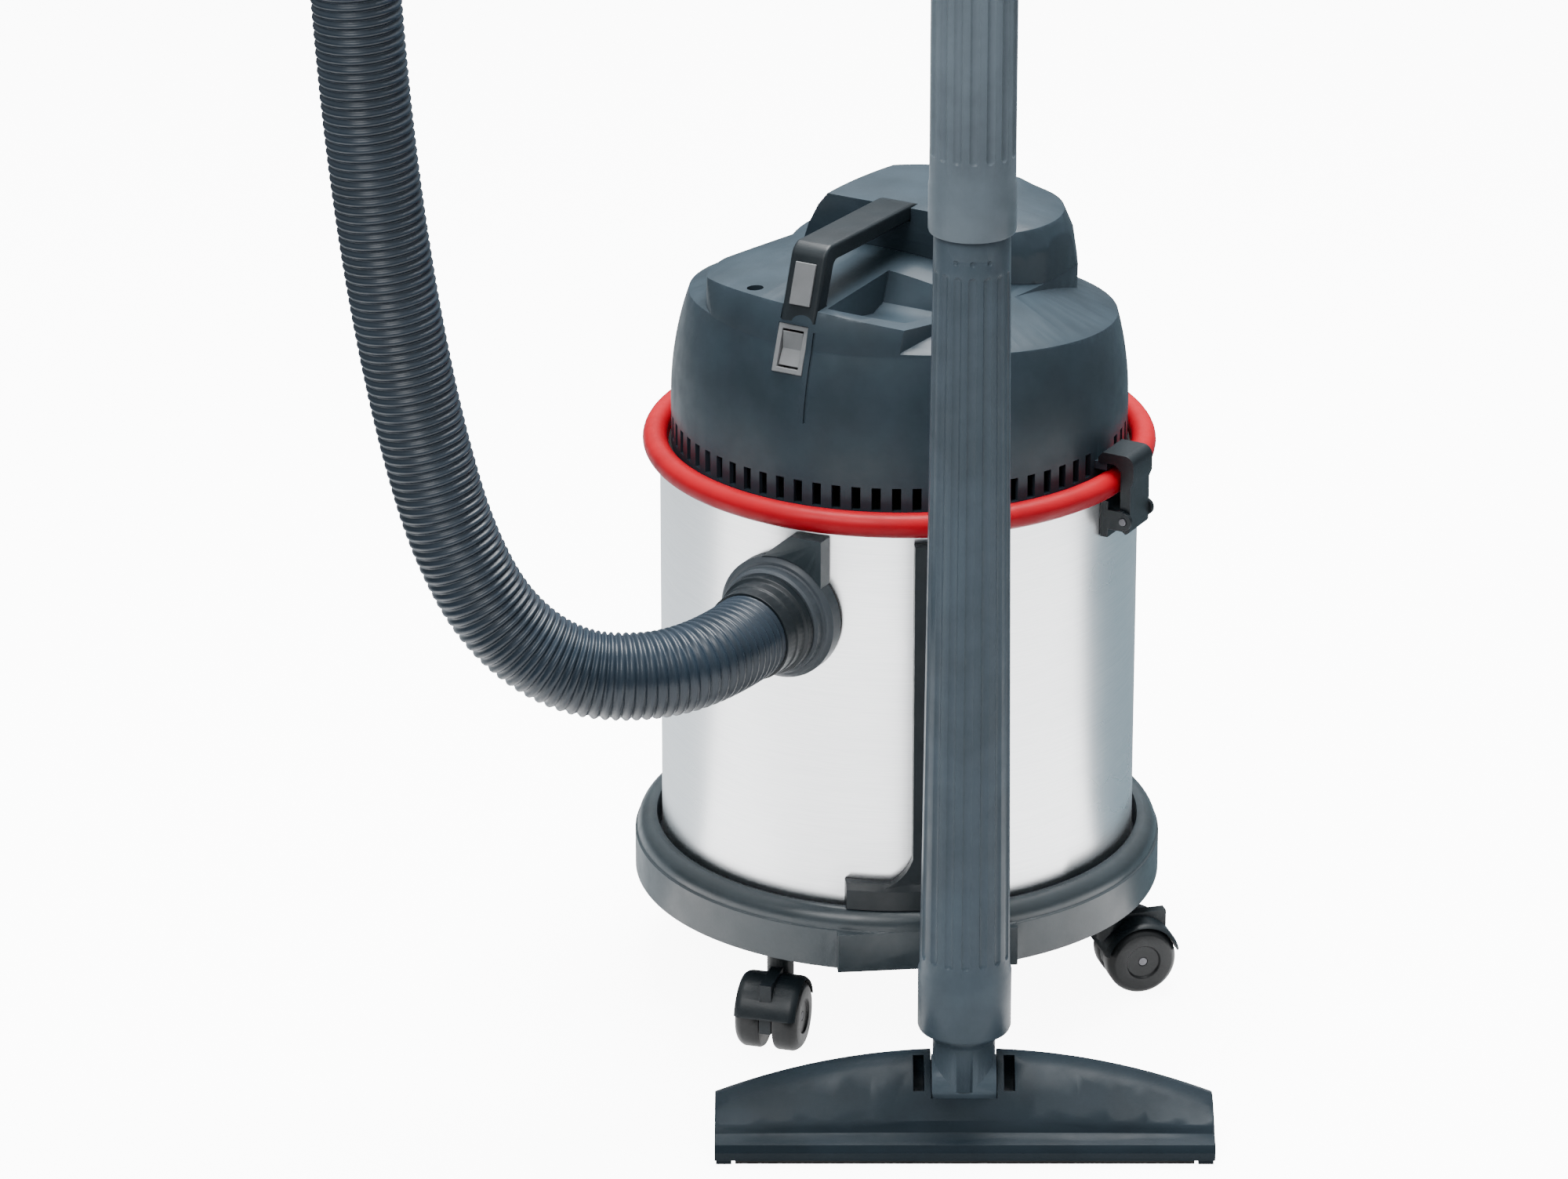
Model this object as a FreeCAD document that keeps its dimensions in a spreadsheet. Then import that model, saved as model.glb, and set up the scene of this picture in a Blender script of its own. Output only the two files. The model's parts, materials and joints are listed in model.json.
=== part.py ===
import FreeCAD, Part
import math
import os

import Sketcher
from FreeCAD import Placement, Rotation, Vector

# Shop vacuum with a steel container on a four-caster trolley, a motor head with a red
# bumper ring below it, a corrugated hose, a two-tube wand and a floor nozzle.
# Millimetres. +Z is up, the origin is on the floor under the container's axis, and -Y is
# the side that the wand stands on. The head, the inlet and the latches are turned about Z.

os.makedirs("parts", exist_ok=True)
doc = FreeCAD.newDocument("shop_vacuum")

DIMENSIONS = {
    # trolley base
    "base_radius": 178.5, "base_wall": 4, "base_bottom": 68, "base_wall_top": 95, "base_lip_top": 108,
    "base_floor": 82, "base_facet": 175.5, "base_facet_half": 60, "base_turn": 6,
    # casters
    "caster_circle": 154, "caster_wheel_radius": 24, "caster_trail": 18, "caster_half_width": 23,
    "caster_web": 8, "caster_stem_radius": 5.5, "caster_bore_radius": 5.55, "axle_radius": 3,
    # container and bumper ring
    "tank_radius": 160, "tank_wall": 1, "tank_bottom": 86, "tank_top": 371.5,
    "ring_centre": 163.2, "ring_tube": 8.3, "ring_height": 379.8, "ring_inner": 154.9,
    # head
    "head_turn": -29, "skirt_radius": 152.5, "skirt_bottom": 377.5, "skirt_top": 411,
    "shoulder_radius": 139, "shoulder_height": 487, "deck_radius": 131, "deck_height": 512,
    "head_wall": 3.5, "slot_count": 72, "slot_width": 6, "slot_low": 385, "slot_high": 401,
    "crown_radius": 450, "crown_side": -20, "side_deck_height": 497, "side_deck_tilt": -5, "rim_width": 8,
    # inlet and hose
    "inlet_height": 309, "inlet_flange_radius": 42, "inlet_bore_radius": 27,
    "cuff_end": 207, "hose_radius": 28.5, "hose_bore_radius": 25,
    # wand and nozzle
    "wand_x": 40, "wand_y": -275, "socket_low": 75, "tube_joint": 622.5, "hand_joint": 1172,
    "tube_wall": 2, "pivot_height": 32, "nozzle_half": 162, "nozzle_front": -329, "pin_radius": 2.5,
}

dim = doc.addObject("Spreadsheet::Sheet", "dim")
for row, (alias, value) in enumerate(DIMENSIONS.items(), start=1):
    dim.set("A%d" % row, alias)
    dim.set("B%d" % row, str(value))
    dim.setAlias("B%d" % row, alias)
doc.recompute()

nodes = {}


# ---------------------------------------------------------------- helpers

def value(expression):
    """Number that a sheet expression, or a plain number, stands for."""
    return float(dim.evalExpression(str(expression)))


def around(azimuth, radius=0.0, height=0.0):
    """Point at a radius from the Z axis; azimuth 0 is -Y and grows towards +X, in degrees."""
    turn = math.radians(azimuth)
    return Vector(radius * math.sin(turn), -radius * math.cos(turn), height)


def spun(azimuth, base=Vector(0, 0, 0)):
    """Placement of a piece drawn facing -Y, turned about Z."""
    return Placement(base, Rotation(Vector(0, 0, 1), azimuth))


def outward(azimuth, height, tilt=0.0, base=None):
    """Placement that sends local Z outward at an azimuth and local Y up."""
    origin = base if base is not None else Vector(0, 0, height)
    lay = Rotation(Vector(1, 0, 0), 90 - tilt)
    return Placement(origin, Rotation(Vector(0, 0, 1), azimuth).multiply(lay))


def bind(obj, **expressions):
    for name, expression in expressions.items():
        if isinstance(expression, (int, float)):
            setattr(obj, name, expression)
        else:
            obj.setExpression(name, expression)
    return obj


def node(label, obj):
    """Registers an object as a sub-part under its own label."""
    obj.Label = label
    nodes[label] = obj
    return obj


def cylinder(name, radius, height, placement=Placement()):
    obj = bind(doc.addObject("Part::Cylinder", name), Radius=radius, Height=height)
    obj.Placement = placement
    return obj


def box(name, length, width, height, corner=Vector(0, 0, 0), turn=None):
    """Box whose corner is given in the frame that turn describes."""
    obj = bind(doc.addObject("Part::Box", name), Length=length, Width=width, Height=height)
    place = Placement(corner, Rotation())
    obj.Placement = turn.multiply(place) if turn is not None else place
    return obj


def cut(name, base, *tools):
    result = base
    for count, tool in enumerate(tools, start=1):
        step = doc.addObject("Part::Cut", name if count == len(tools) else "%s_%d" % (name, count))
        step.Base = result
        step.Tool = tool
        result = step
    return result


def fuse(name, *shapes):
    obj = doc.addObject("Part::MultiFuse", name)
    obj.Shapes = list(shapes)
    return obj


def common(name, first, second):
    obj = doc.addObject("Part::Common", name)
    obj.Base = first
    obj.Tool = second
    return obj


def group(name, shapes):
    obj = doc.addObject("Part::Compound", name)
    obj.Links = list(shapes)
    return obj


def computed(name, shape, placement=Placement()):
    obj = doc.addObject("Part::Feature", name)
    obj.Shape = shape
    obj.Placement = placement
    return obj


def through(name, placement, radius, low, high):
    """Cylinder along the local Z of a placement, from low to high."""
    return cylinder(name, radius, "%s - (%s)" % (high, low),
                    placement.multiply(Placement(Vector(0, 0, value(low)), Rotation())))


def sketch_on(body, role, name, points):
    """Closed outline; each point is (x, y) or (x, y, radius of the arc that leaves it).

    A positive radius puts the arc's centre on the left of the way to the next point.
    """
    sketch = body.newObject("Sketcher::SketchObject", name)
    plane = [o for o in body.Origin.OriginFeatures if o.Role == role][0]
    sketch.AttachmentSupport = (plane, "")
    sketch.MapMode = "FlatFace"
    places = [Vector(value(p[0]), value(p[1]), 0) for p in points]
    count = len(points)
    for i in range(count):
        start, stop = places[i], places[(i + 1) % count]
        if len(points[i]) < 3:
            sketch.addGeometry(Part.LineSegment(start, stop))
            continue
        radius = value(points[i][2])
        chord = stop - start
        half = chord.Length / 2
        left = Vector(-chord.y, chord.x, 0).normalize()
        side = left * math.copysign(1, radius)
        centre = (start + stop) * 0.5 + side * math.sqrt(max(radius * radius - half * half, 0))
        low, high = (start, stop) if radius > 0 else (stop, start)
        sketch.addGeometry(Part.Arc(low, centre - side * abs(radius), high))
    doc.recompute()

    def end(index, point):
        shape = sketch.Geometry[index]
        return 1 if (shape.StartPoint - point).Length < 1e-6 else 2

    for i in range(count):
        after = (i + 1) % count
        sketch.addConstraint(Sketcher.Constraint("Coincident", i, end(i, places[after]),
                                                 after, end(after, places[after])))
        for axis, kind in ((0, "DistanceX"), (1, "DistanceY")):
            label = "p%d%s" % (i, "xy"[axis])
            index = sketch.addConstraint(
                Sketcher.Constraint(kind, -1, 1, i, end(i, places[i]), places[i][axis]))
            sketch.renameConstraint(index, label)
            sketch.setExpression("Constraints." + label, str(points[i][axis]))
        if len(points[i]) == 3:
            index = sketch.addConstraint(
                Sketcher.Constraint("Radius", i, abs(value(points[i][2]))))
            sketch.renameConstraint(index, "r%d" % i)
            sketch.setExpression("Constraints.r%d" % i, "abs(%s)" % points[i][2])
    return sketch


def turned(name, points, placement=Placement()):
    """PartDesign body: an (r, z) outline revolved about the local Z axis."""
    body = doc.addObject("PartDesign::Body", name)
    sketch = sketch_on(body, "XZ_Plane", name + "_profile", points)
    turn = body.newObject("PartDesign::Revolution", name + "_turn")
    turn.Profile = sketch
    turn.ReferenceAxis = (sketch, ["V_Axis"])
    turn.Angle = 360
    body.Tip = turn
    body.Placement = placement
    return body


def slab(name, points, width, placement=Placement()):
    """PartDesign body: a (y, z) outline padded along X, width/2 to each side."""
    body = doc.addObject("PartDesign::Body", name)
    sketch = sketch_on(body, "YZ_Plane", name + "_outline", points)
    pad = body.newObject("PartDesign::Pad", name + "_pad")
    pad.Profile = sketch
    pad.setExpression("Length", str(width))
    pad.SideType = "Symmetric"
    body.Tip = pad
    body.Placement = placement
    return body


def plate(name, points, thickness, placement=Placement()):
    """PartDesign body: an (x, y) outline padded along local Z."""
    body = doc.addObject("PartDesign::Body", name)
    sketch = sketch_on(body, "XY_Plane", name + "_outline", points)
    pad = body.newObject("PartDesign::Pad", name + "_pad")
    pad.Profile = sketch
    pad.setExpression("Length", str(thickness))
    body.Tip = pad
    body.Placement = placement
    return body


def rounded(name, base, radius, wanted):
    """Part::Fillet on the edges of a recomputed base that wanted(edge) accepts."""
    doc.recompute()
    obj = doc.addObject("Part::Fillet", name)
    obj.Base = base
    obj.Edges = [(i, radius, radius) for i, edge in enumerate(base.Shape.Edges, start=1) if wanted(edge)]
    return obj


def pipe(path, radius):
    """Solid swept by a circle along a wire, square to its start."""
    first = path.Edges[0]
    start = first.valueAt(first.FirstParameter)
    direction = first.tangentAt(first.FirstParameter)
    circle = Part.Wire(Part.makeCircle(radius, start, direction))
    return path.makePipeShell([circle], True, False)


def bent_path(points):
    """Straight runs joined by tangent arcs, as large as the runs beside each point allow."""
    edges = []
    last = points[0]
    radii = []
    for before, corner, after in zip(points, points[1:], points[2:]):
        arriving = (corner - before).normalize()
        leaving = (after - corner).normalize()
        turn = arriving.getAngle(leaving)
        reach = 0.45 * min(corner.distanceToPoint(before), corner.distanceToPoint(after))
        radius = reach / math.tan(turn / 2)
        radii.append(radius)
        enter = corner - arriving * reach
        leave = corner + leaving * reach
        inward = (leaving - arriving).normalize()
        to_centre = radius / math.cos(turn / 2)
        middle = corner + inward * (to_centre - radius)
        edges.append(Part.LineSegment(last, enter).toShape())
        edges.append(Part.Arc(enter, middle, leave).toShape())
        last = leave
    edges.append(Part.LineSegment(last, points[-1]).toShape())
    return Part.Wire(edges), radii


HEAD = value("dim.head_turn")
BASE = value("dim.base_turn")
LATCHES = {"right": HEAD + 90, "left": HEAD - 106}
head = spun(HEAD)
inlet = outward(HEAD, value("dim.inlet_height"))


# ---------------------------------------------------------------- trolley base

ring = turned("base_ring", [
    (0, "dim.base_floor"), ("dim.base_radius - dim.base_wall", "dim.base_floor"),
    ("dim.base_radius - dim.base_wall", "dim.base_bottom"), ("dim.base_radius", "dim.base_bottom"),
    ("dim.base_radius", "dim.base_wall_top"), ("dim.base_radius - 1.5", "dim.base_wall_top + 0.8"),
    ("dim.base_radius - 1.5", "dim.base_wall_top + 2.5", 11.5),
    ("dim.base_radius - 10", "dim.base_lip_top"), ("dim.tank_radius + 3.5", "dim.base_lip_top - 0.6"),
    ("dim.tank_radius + 3.5", "dim.tank_bottom"), (0, "dim.tank_bottom")], spun(BASE))
facet_pad = box("facet_pad", "2 * dim.base_facet_half", 11, "dim.base_wall_top - dim.base_bottom",
                Vector(-value("dim.base_facet_half"), -value("dim.base_facet"), value("dim.base_bottom")),
                spun(BASE))
facet_trim = box("facet_trim", 140, 20, 60,
                 Vector(-70, -value("dim.base_facet") - 20, value("dim.base_bottom") - 10), spun(BASE))

CASTER_AZIMUTHS = [-31, 69, 149, -111]
CASTER_TRAILS = [-15, 105, 170, 70]
bosses = []
stem_holes = []
for number, azimuth in enumerate(CASTER_AZIMUTHS, start=1):
    stand = Placement(around(azimuth, value("dim.caster_circle")), Rotation())
    bosses.append(through("boss_%d" % number, stand, 13, "dim.base_bottom - 2", "dim.base_floor + 1"))
    stem_holes.append(through("stem_hole_%d" % number, stand, "dim.caster_bore_radius", "50",
                              "dim.tank_bottom - 1"))
screw_places = [around(BASE + 45 + 90 * i, 100) for i in range(4)]
screw_holes = [through("screw_hole_%d" % i, Placement(p, Rotation()), 2.5, "dim.base_floor - 5",
                       "dim.tank_bottom + 5")
               for i, p in enumerate(screw_places)]
base_body = fuse("base_body", ring, facet_pad, *bosses)
node("trolley_base", cut("trolley_base", base_body, facet_trim,
                         group("base_holes", stem_holes + screw_holes)))

node("base_screws", group("base_screws", [
    fuse("base_screw_%d" % i,
         through("screw_shank_%d" % i, Placement(p, Rotation()), 2.5, "dim.base_floor",
                 "dim.tank_bottom + 5"),
         through("screw_head_%d" % i, Placement(p, Rotation()), 4.5, "dim.base_floor - 3",
                 "dim.base_floor"))
    for i, p in enumerate(screw_places)]))


# ---------------------------------------------------------------- tool rail on the container's front

rail_strip = box("rail_strip", 19, 7, 246, Vector(-9.5, -167.5, 120), spun(BASE))
foot_ring = turned("foot_ring", [(160.5, "dim.base_lip_top + 0.3"), (171, "dim.base_lip_top + 0.3"),
                                 (171, 122), (168, 126), (160.5, 126)], spun(BASE))
foot = common("rail_foot", foot_ring, box("foot_window", 106, 60, 30, Vector(-53, -180, 100), spun(BASE)))
gusset = slab("rail_gusset", [(-28, 122), (28, 122), (28, 124, -30), (9, 146), (-9, 146, -30), (-28, 124)], 7,
              spun(BASE).multiply(Placement(Vector(0, -164, 0), Rotation(Vector(0, 0, 1), -90))))
rail_raw = fuse("rail_raw", rail_strip, foot, gusset)
node("tool_rail", cut("tool_rail", rail_raw, cylinder("rail_clearance", "dim.tank_radius + 0.3", 400)))


# ---------------------------------------------------------------- casters

for number, (azimuth, trail) in enumerate(zip(CASTER_AZIMUTHS, CASTER_TRAILS), start=1):
    swivel = spun(trail, around(azimuth, value("dim.caster_circle")))
    axle_middle = Vector(0, -value("dim.caster_trail"), value("dim.caster_wheel_radius"))
    axle_line = swivel.multiply(Placement(axle_middle, Rotation(Vector(0, 1, 0), 90)))
    tag = str(number)
    hood_outer = through("hood_outer_" + tag, axle_line, "dim.caster_wheel_radius + 3",
                         "-dim.caster_half_width", "dim.caster_half_width")
    hood_soft = rounded("hood_soft_" + tag, hood_outer, 7,
                        lambda edge: edge.Curve.TypeId == "Part::GeomCircle")
    hood_inner = through("hood_inner_" + tag, axle_line, "dim.caster_wheel_radius + 0.8",
                         "-dim.caster_half_width - 1", "dim.caster_half_width + 1")
    below = box("hood_below_" + tag, 70, 70, 40, Vector(-35, -60, -10), swivel)
    hood = cut("hood_" + tag, hood_soft, hood_inner, below)
    web = through("web_" + tag, axle_line, "dim.caster_wheel_radius - 1", "-dim.caster_web / 2",
                  "dim.caster_web / 2")
    web_low = box("web_low_" + tag, 20, 70, 20, Vector(-10, -60, -2), swivel)
    web_top = box("web_top_" + tag, "dim.caster_web", 34, 12, Vector(-4, -39, 41), swivel)
    neck = cut("neck_" + tag, through("neck_raw_" + tag, swivel, 9, "36", "dim.base_bottom - 2.5"),
               through("neck_clear_" + tag, axle_line, "dim.caster_wheel_radius + 0.8", "-30", "30"))
    stem = through("stem_" + tag, swivel, "dim.caster_stem_radius", "dim.base_bottom - 3",
                   "dim.tank_bottom - 2")
    fork = fuse("fork_raw_" + tag, hood, cut("web_trim_" + tag, web, web_low), web_top, neck, stem)
    axle_hole = through("axle_hole_" + tag, axle_line, "dim.axle_radius", "-10", "10")
    node("caster_fork_" + tag, cut("caster_fork_" + tag, fork, axle_hole))
    node("caster_axle_" + tag, through("caster_axle_" + tag, axle_line, "dim.axle_radius", "-20", "20"))
    wheels = []
    for side, turn in (("a", 0), ("b", 180)):
        wheels.append(turned("wheel_%s_%s" % (side, tag), [
            ("dim.axle_radius + 0.05", "dim.caster_web / 2 + 0.5"), (23, "dim.caster_web / 2 + 0.5"),
            ("dim.caster_wheel_radius", "dim.caster_web / 2 + 2.5"), ("dim.caster_wheel_radius", 16, 8),
            (19.5, 21.5), (12, 21.5), (11, 20), ("dim.axle_radius + 0.05", 20)],
            axle_line.multiply(Placement(Vector(0, 0, 0), Rotation(Vector(1, 0, 0), turn)))))
    node("caster_wheels_" + tag, group("caster_wheels_" + tag, wheels))


# ---------------------------------------------------------------- container and bumper ring

tank = turned("tank_shell", [
    (0, "dim.tank_bottom"), ("dim.tank_radius - 6", "dim.tank_bottom", 6),
    ("dim.tank_radius", "dim.tank_bottom + 6"), ("dim.tank_radius", "dim.tank_top - 1"),
    ("dim.tank_radius + 4", "dim.tank_top - 1"), ("dim.tank_radius + 4", "dim.tank_top"),
    ("dim.tank_radius - dim.tank_wall", "dim.tank_top"),
    ("dim.tank_radius - dim.tank_wall", "dim.tank_bottom + 6", -5),
    ("dim.tank_radius - 6", "dim.tank_bottom + dim.tank_wall"), (0, "dim.tank_bottom + dim.tank_wall")])
inlet_hole = through("inlet_hole", inlet, "dim.inlet_bore_radius + 2", "100", "200")
node("container", cut("container", tank, inlet_hole, group("tank_screw_holes", [
    through("tank_screw_hole_%d" % i, Placement(p, Rotation()), 2.5, "dim.base_floor - 5",
            "dim.tank_bottom + 5")
    for i, p in enumerate(screw_places)])))

node("bumper_ring", turned("bumper_ring", [
    (150, "dim.tank_top"), ("dim.ring_centre", "dim.ring_height - dim.ring_tube", "dim.ring_tube"),
    ("dim.ring_centre + dim.ring_tube", "dim.ring_height", "dim.ring_tube"),
    ("dim.ring_centre", "dim.ring_height + dim.ring_tube", "dim.ring_tube"),
    ("dim.ring_inner", "dim.ring_height"), ("dim.ring_inner", "dim.tank_top + 3.7"),
    (150, "dim.tank_top + 3.7")]))
node("head_gasket", turned("head_gasket", [
    (150.3, "dim.tank_top + 3.7"), (154.4, "dim.tank_top + 3.7"), (154.4, "dim.skirt_bottom - 0.4"),
    (153.8, "dim.skirt_bottom"), (150.3, "dim.skirt_bottom")]))


# ---------------------------------------------------------------- inlet

flange_raw = turned("flange_raw", [
    ("dim.inlet_bore_radius", 150), ("dim.inlet_bore_radius + 1.8", 150),
    ("dim.inlet_bore_radius + 1.8", 158),
    ("dim.inlet_flange_radius", 158), ("dim.inlet_flange_radius", 168), ("dim.inlet_flange_radius - 3", 171),
    (37, 171), (36, 172), (36, 178), (34.5, 179.5), ("dim.inlet_bore_radius", 179.5)], inlet)
tank_envelope = cylinder("tank_envelope", "dim.tank_radius + 1.3", 400)
spigot_keep = through("spigot_keep", inlet, "dim.inlet_bore_radius + 1.8", "100", "200")
node("inlet_flange", cut("inlet_flange", flange_raw, cut("flange_seat", tank_envelope, spigot_keep)))

gasket_disc = cut("gasket_disc", through("gasket_outer", inlet, "dim.inlet_flange_radius - 1", "140", "170"),
                  through("gasket_inner", inlet, "dim.inlet_bore_radius + 2", "130", "180"))
gasket_shell = cut("gasket_shell", cylinder("gasket_far", "dim.tank_radius + 1.25", 400),
                   cylinder("gasket_near", "dim.tank_radius", 400))
node("inlet_gasket", common("inlet_gasket", gasket_disc, gasket_shell))

elbow_start = 150
elbow_bend = 40


def elbow_point(degrees):
    """Point on the deflector's centre line, which bends down inside the container."""
    angle = math.radians(degrees)
    return Vector(0, -elbow_start + elbow_bend * math.sin(angle), elbow_bend * (math.cos(angle) - 1))


elbow_path = Part.Wire([Part.Arc(
    Vector(0, -elbow_start, 0),
    elbow_point(36), elbow_point(72)).toShape()])
elbow_outer = value("dim.inlet_bore_radius") + 1.8
elbow_shape = pipe(elbow_path, elbow_outer).cut(pipe(elbow_path, elbow_outer - 2))
node("inlet_deflector", computed("inlet_deflector", elbow_shape,
                                 spun(HEAD, Vector(0, 0, value("dim.inlet_height")))))

bracket_raw = plate("bracket_raw", [(8, 22), (33, 22), (33, 59), (10, 59), (-17, 36)], 18,
                    inlet.multiply(Placement(Vector(0, 0, 151), Rotation())))
bracket_clear = through("bracket_clear", inlet, "dim.inlet_flange_radius + 0.3", "100", "200")
node("inlet_bracket", cut("inlet_bracket", bracket_raw, bracket_clear,
                          cylinder("bracket_seat", "dim.tank_radius + 0.2", 400)))

node("hose_cuff_canister", turned("hose_cuff_canister", [
    (24, 153), (26.9, 153), (26.9, 179.8), (33.5, 179.8), (33.5, 186), (31, 187.5), (31, 196), (30, 197),
    (30, "dim.cuff_end - 0.3"), (24, "dim.cuff_end - 0.3")], inlet))


# ---------------------------------------------------------------- latches

PIVOT_RADIUS = 176
PIVOT_HEIGHT = 357
pins = []
for side, azimuth in LATCHES.items():
    turn = spun(azimuth)
    pivot = turn.multiply(Placement(Vector(0, -PIVOT_RADIUS, PIVOT_HEIGHT), Rotation(Vector(0, 1, 0), 90)))
    base_plate = box("latch_plate_" + side, 35, 8, 26, Vector(-17.5, -165, 344), turn)
    ears = [through("latch_ear_%s_%d" % (side, i), pivot, 6, str(low), str(low + 3.2))
            for i, low in enumerate((-17.5, 14.3))]
    arms = [box("latch_arm_%s_%d" % (side, i), 3.2, 14, 14, Vector(low, -176, 350), turn)
            for i, low in enumerate((-17.5, 14.3))]
    mount = fuse("latch_mount_raw_" + side, base_plate, *ears, *arms)
    node("latch_mount_" + side, cut("latch_mount_" + side, mount,
                                    cylinder("latch_seat_" + side, "dim.tank_radius + 0.2", 400),
                                    through("latch_pin_hole_" + side, pivot, "dim.pin_radius", "-20", "20")))
    clip_raw = slab("latch_clip_" + side, [
        (-172.2, 350), (-172.2, 390), (-168, 394.6), (-155.5, 394.6), (-155.5, 398), (-159, 402),
        (-175, 402, 7), (-181.5, 395), (-181.5, 385), (-179.5, 380), (-179.5, 350, 4), (-176, 347)], 28, turn)
    node("latch_" + side, cut("latch_" + side, clip_raw,
                              through("latch_bore_" + side, pivot, "dim.pin_radius + 0.05", "-20", "20")))
    pins.append(through("latch_pin_" + side, pivot, "dim.pin_radius", "-18.5", "18.5"))
node("latch_pins", group("latch_pins", pins))


# ---------------------------------------------------------------- head shell

def head_solid(name, inset):
    """Outside of the dome, or the space inside it when inset is the wall thickness."""
    return turned(name, [
        (0, "dim.skirt_bottom"), ("dim.skirt_radius - %s" % inset, "dim.skirt_bottom"),
        ("dim.skirt_radius - %s" % inset, "dim.skirt_top", 220),
        ("dim.shoulder_radius - %s" % inset, "dim.shoulder_height - %s / 3" % inset, 80),
        ("dim.deck_radius - %s" % inset, "dim.deck_height - %s" % inset),
        (0, "dim.deck_height - %s" % inset)], head)


def crown(name, inset):
    """Everything under the deck's top, which is highest a little left of its middle."""
    lying = Placement(Vector(value("dim.crown_side"), 200, value("dim.deck_height - dim.crown_radius")),
                      Rotation(Vector(1, 0, 0), 90))
    return cylinder(name, "dim.crown_radius - %s" % inset, 400, head.multiply(lying))


def raised_plan(inset):
    """Outline of the deck's middle, which carries the handle and the motor cap."""
    corners = [Vector(x, y, 0) for x, y in (
        (50, -190), (66, -117), (97, 69), (68, 114), (55, 190),
        (-45, 190), (-52, 106), (-82, 0), (-103, -53), (-80, -112), (-60, -190))]
    bulges = {1: Vector(92, -10, 0), 6: Vector(-84, 50, 0), 8: Vector(-97, -88, 0)}
    edges = []
    for index, corner in enumerate(corners):
        after = corners[(index + 1) % len(corners)]
        if index in bulges:
            edges.append(Part.Arc(corner, bulges[index], after).toShape())
        else:
            edges.append(Part.LineSegment(corner, after).toShape())
    outline = Part.Wire(edges)
    if inset:
        outline = outline.makeOffset2D(-inset)
    return Part.Face(outline)


def side_decks(name, inset):
    """Spaces beside the raised middle; their floor falls outward and towards the back."""
    inner_radius, outer_radius, fall = 92, 240, 61
    apex = fall * inner_radius / (outer_radius - inner_radius)
    space = Part.makeBox(440, 380, 90 + fall, Vector(-220, -190, -fall))
    middle = raised_plan(inset).extrude(Vector(0, 0, 90 + 2 * fall))
    middle.translate(Vector(0, 0, -2 * fall))
    slope = Part.makeCone(outer_radius, 0, fall + apex, Vector(0, 0, -fall))
    beside = space.cut([middle, slope])
    floor = Placement(Vector(0, 0, value("dim.side_deck_height") - inset),
                      Rotation(Vector(1, 0, 0), value("dim.side_deck_tilt")))
    return computed(name, beside, head.multiply(floor))


def hand_recess(name, inset):
    """Finger recess on the handle's right, between the cap, the front rim and the right rim."""
    scoop = slab(name + "_scoop", [
        (-130, 530), (-130, 503 - inset), (-100, 496 - inset), (-60, 487.5 - inset),
        (-46 + inset, 491 - inset), (-38 + inset, 512 - inset), (-38 + inset, 530)], 84 + 2 * inset,
        head.multiply(Placement(Vector(54, 0, 0), Rotation())))
    rim = value("dim.rim_width") - inset
    inside_rims = raised_plan(rim).extrude(Vector(0, 0, 90)).common(
        Part.makeCylinder(value("dim.deck_radius") - rim, 90))
    limit = computed(name + "_limit", inside_rims, head.multiply(Placement(Vector(0, 0, 460), Rotation())))
    return common(name, scoop, limit)


lugs = [box("lug_" + side, 24, 12, 5.4, Vector(-12, -161, 388.8), spun(azimuth))
        for side, azimuth in LATCHES.items()]
head_outside = cut("head_outside",
                   fuse("head_with_lugs", common("dome_outside", head_solid("dome_turned", "0"),
                                                 crown("crown_outside", "0")), *lugs),
                   side_decks("side_decks_outside", 0), hand_recess("recess_outside", 0))
head_inside = cut("head_inside", common("dome_inside", head_solid("dome_hollow", "dim.head_wall"),
                                        crown("crown_inside", "dim.head_wall")),
                  side_decks("side_decks_inside", 3.5), hand_recess("recess_inside", 3))


def clear_of_latches(azimuth):
    return all(abs((azimuth - latch + 180) % 360 - 180) > 5.5 for latch in LATCHES.values())


slot_azimuths = [HEAD + 2.5 + i * 360 / value("dim.slot_count") for i in range(int(value("dim.slot_count")))]
slots = [box("slot_%d" % i, "dim.slot_width", 16, "dim.slot_high - dim.slot_low",
             Vector(-value("dim.slot_width") / 2, -160, value("dim.slot_low")), spun(azimuth))
         for i, azimuth in enumerate(slot_azimuths) if clear_of_latches(azimuth)]
head_screw_places = [around(HEAD + 45 + 90 * i, 144.5) for i in range(4)]
screw_bosses = [cut("head_boss_%d" % i,
                    through("head_boss_raw_%d" % i, Placement(p, Rotation()), 5.5,
                            "dim.skirt_bottom + 4", "420"),
                    through("head_boss_hole_%d" % i, Placement(p, Rotation()), 2, "370", "396"))
                for i, p in enumerate(head_screw_places)]
bosses_inside = common("head_bosses", group("head_boss_group", screw_bosses),
                       cylinder("head_boss_limit", "dim.skirt_radius - 1", 500))

HANDLE_OUTLINE = [
    (-134.722, 503), (-120.651, 503), (-109, 534.5, -6), (-104, 538.5), (-4, 533.5), (12, 532.5), (12, 541.5),
    (-4, 545.5), (-111, 550.5, 12), (-120.5, 543)]
handle_place = head.multiply(Placement(Vector(-3.5, 0, 0), Rotation()))


def handle_bar(name):
    return slab(name, HANDLE_OUTLINE, 26, handle_place)


def handle_side(edge):
    """Whether an edge runs along a side of the handle, above the deck and in front of the cap."""
    place = handle_place.inverse().multVec(edge.CenterOfMass)
    return abs(place.x) > 12.9 and place.z > 535 and place.y < -40


handle_clear = handle_bar("handle_clear")
node("carry_handle", rounded("carry_handle", handle_bar("handle_body"), 2.5, handle_side))
node("handle_grip", slab("handle_grip", [
    (-131.145, 513.078), (-121.765, 539.46), (-123.362, 540.027), (-132.742, 513.645)], 15, handle_place))

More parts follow.
